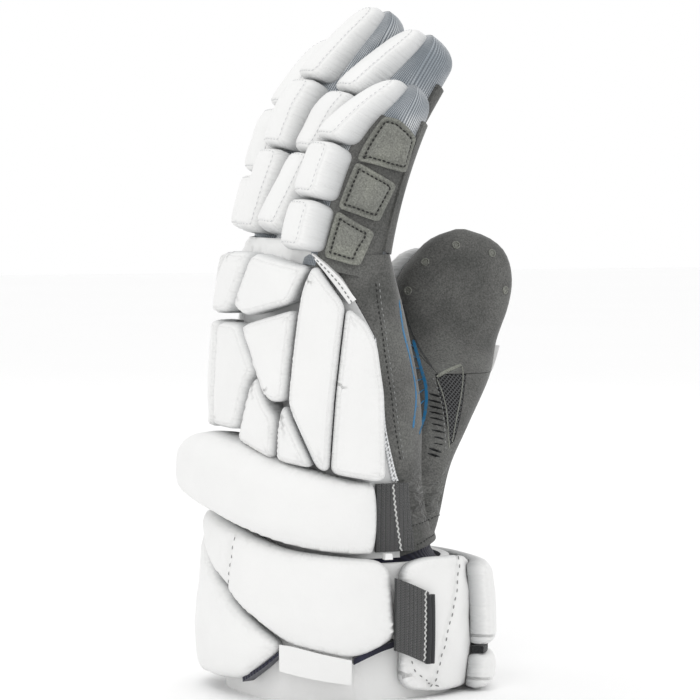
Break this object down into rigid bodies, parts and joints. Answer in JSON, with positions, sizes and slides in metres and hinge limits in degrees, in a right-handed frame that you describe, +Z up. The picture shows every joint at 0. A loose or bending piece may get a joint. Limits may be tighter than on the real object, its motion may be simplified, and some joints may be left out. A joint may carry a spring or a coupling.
{
  "type": "lacrosse glove",
  "caption": "Padded right-hand lacrosse glove standing on its cuff, with segmented foam rolls on fingers and back, a suede palm and thumb, a wrist roll and a strapped cuff.",
  "frame": {"origin": "middle of the bounding box at the foot of the cuff", "axes": "+Z runs up the fingers, +X faces out of the palm, -Y is the little finger side and +Y the thumb side"},
  "size_m": [0.1678, 0.1284, 0.3051],
  "materials": {
    "white_leather": "smooth, slightly glossy coated leather",
    "grey_suede": "napped grey suede",
    "light_suede": "napped light grey suede",
    "silver_knit": "ribbed silver knit",
    "mesh": "black open mesh",
    "webbing": "ribbed grey elastic webbing",
    "navy_lining": "matt navy brushed lining"
  },
  "bodies": {
    "root": {"hand_back_base": "white_leather", "thumb_sleeve": "grey_suede", "palm_suede": "grey_suede", "palm_mesh_window": "mesh", "index_sleeve": "silver_knit", "index_palm_strip": "grey_suede", "index_root_roll": "white_leather", "index_middle_roll": "white_leather", "index_tip_roll": "white_leather", "middle_sleeve": "silver_knit", "middle_palm_strip": "grey_suede", "middle_root_roll": "white_leather", "middle_middle_roll": "white_leather", "middle_tip_roll": "white_leather", "ring_sleeve": "silver_knit", "ring_palm_strip": "grey_suede", "ring_root_roll": "white_leather", "ring_middle_roll": "white_leather", "ring_tip_roll": "white_leather", "little_sleeve": "silver_knit", "little_palm_strip": "grey_suede", "little_root_roll": "white_leather", "little_middle_roll": "white_leather", "little_tip_roll": "white_leather", "suede_side_pad_tip": "light_suede", "suede_side_pad_middle": "light_suede", "suede_side_pad_root": "light_suede", "back_pad_thumb_upper": "white_leather", "back_pad_knuckle_edge": "white_leather", "back_pad_knuckle": "white_leather", "back_pad_centre": "white_leather", "back_pad_outer": "white_leather", "back_pad_middle": "white_leather", "back_pad_lower": "white_leather", "back_pad_wedge": "white_leather", "side_pad_front": "white_leather", "side_pad_tall": "white_leather", "thumb_side_pad_upper": "white_leather", "thumb_side_pad_lower": "white_leather", "thumb_tip_pad": "white_leather", "thumb_base_pad": "white_leather", "wrist_roll": "white_leather", "wrist_elastic": "webbing", "wrist_elastic_thumb_side": "webbing", "cuff_lining": "navy_lining", "cuff_wrap": "white_leather", "cuff_side_panel": "white_leather", "cuff_back_panel": "white_leather", "wrist_panel": "white_leather", "cuff_thumb_panel": "white_leather", "cuff_thumb_back_panel": "white_leather", "cuff_elastic_tab": "webbing", "wrist_strap": "white_leather", "wrist_strap_tab": "white_leather", "cuff_label": "white_leather"}
  },
  "joints": []
}
